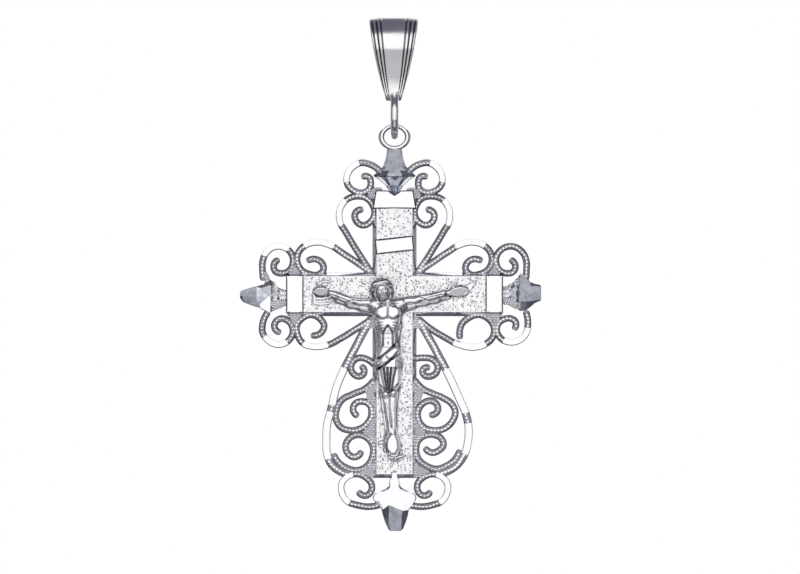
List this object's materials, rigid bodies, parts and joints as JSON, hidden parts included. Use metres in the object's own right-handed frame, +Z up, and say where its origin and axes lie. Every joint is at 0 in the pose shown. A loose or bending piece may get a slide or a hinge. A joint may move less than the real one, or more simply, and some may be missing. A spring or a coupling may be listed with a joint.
{
  "type": "crucifix pendant",
  "caption": "Silver filigree crucifix pendant with beaded scrolls, faceted finials, a cast figure, and a tapered bail joined by a jump ring.",
  "frame": {"origin": "centre of the chain passage in the bail, at the middle of the bail's width", "axes": "+Z up as the pendant hangs, the front with the figure faces -Y, +X to the right seen from the front"},
  "size_m": [0.0407, 0.0072, 0.0695],
  "materials": {
    "polished_silver": "polished",
    "faceted_silver": "polished facets",
    "beaded_silver": "beaded wire with bright cuts and dark gaps",
    "matte_silver": "fine punched stipple",
    "cast_silver": "cast, soft polish"
  },
  "bodies": {
    "bail": {"bail": "polished_silver"},
    "jump_ring": {"jump_ring": "polished_silver"},
    "cross": {"arm_lower_curl_left": "beaded_silver", "arm_lower_curl_right": "beaded_silver", "arm_lower_scroll_left": "beaded_silver", "arm_lower_scroll_right": "beaded_silver", "arm_upper_curl_left": "beaded_silver", "arm_upper_curl_right": "beaded_silver", "arm_upper_scroll_left": "beaded_silver", "arm_upper_scroll_right": "beaded_silver", "base_scroll_left": "beaded_silver", "base_scroll_right": "beaded_silver", "corpus": "cast_silver", "cross_plate": "matte_silver", "end_plate_left": "polished_silver", "end_plate_right": "polished_silver", "end_plate_top": "polished_silver", "finial_bottom": "faceted_silver", "finial_left": "faceted_silver", "finial_right": "faceted_silver", "finial_top": "faceted_silver", "foot_rest": "cast_silver", "skirt_frame_left": "beaded_silver", "skirt_frame_right": "beaded_silver", "skirt_scroll_lower_left": "beaded_silver", "skirt_scroll_lower_right": "beaded_silver", "skirt_scroll_middle_left": "beaded_silver", "skirt_scroll_middle_right": "beaded_silver", "skirt_scroll_upper_left": "beaded_silver", "skirt_scroll_upper_right": "beaded_silver", "titulus": "polished_silver", "top_long_scroll_left": "beaded_silver", "top_long_scroll_right": "beaded_silver", "top_loop": "polished_silver", "top_small_scroll_left": "beaded_silver", "top_small_scroll_right": "beaded_silver"}
  },
  "joints": [
    {"name": "ring_in_bail", "type": "hinge", "parent": "bail", "child": "jump_ring", "pos_m": [0, 0, -0.00675], "axis": [0, 1, 0], "range_deg": [-45, 45]},
    {"name": "cross_on_ring", "type": "hinge", "parent": "jump_ring", "child": "cross", "pos_m": [0, 0, -0.0112], "axis": [1, 0, 0], "range_deg": [-65, 65]}
  ]
}
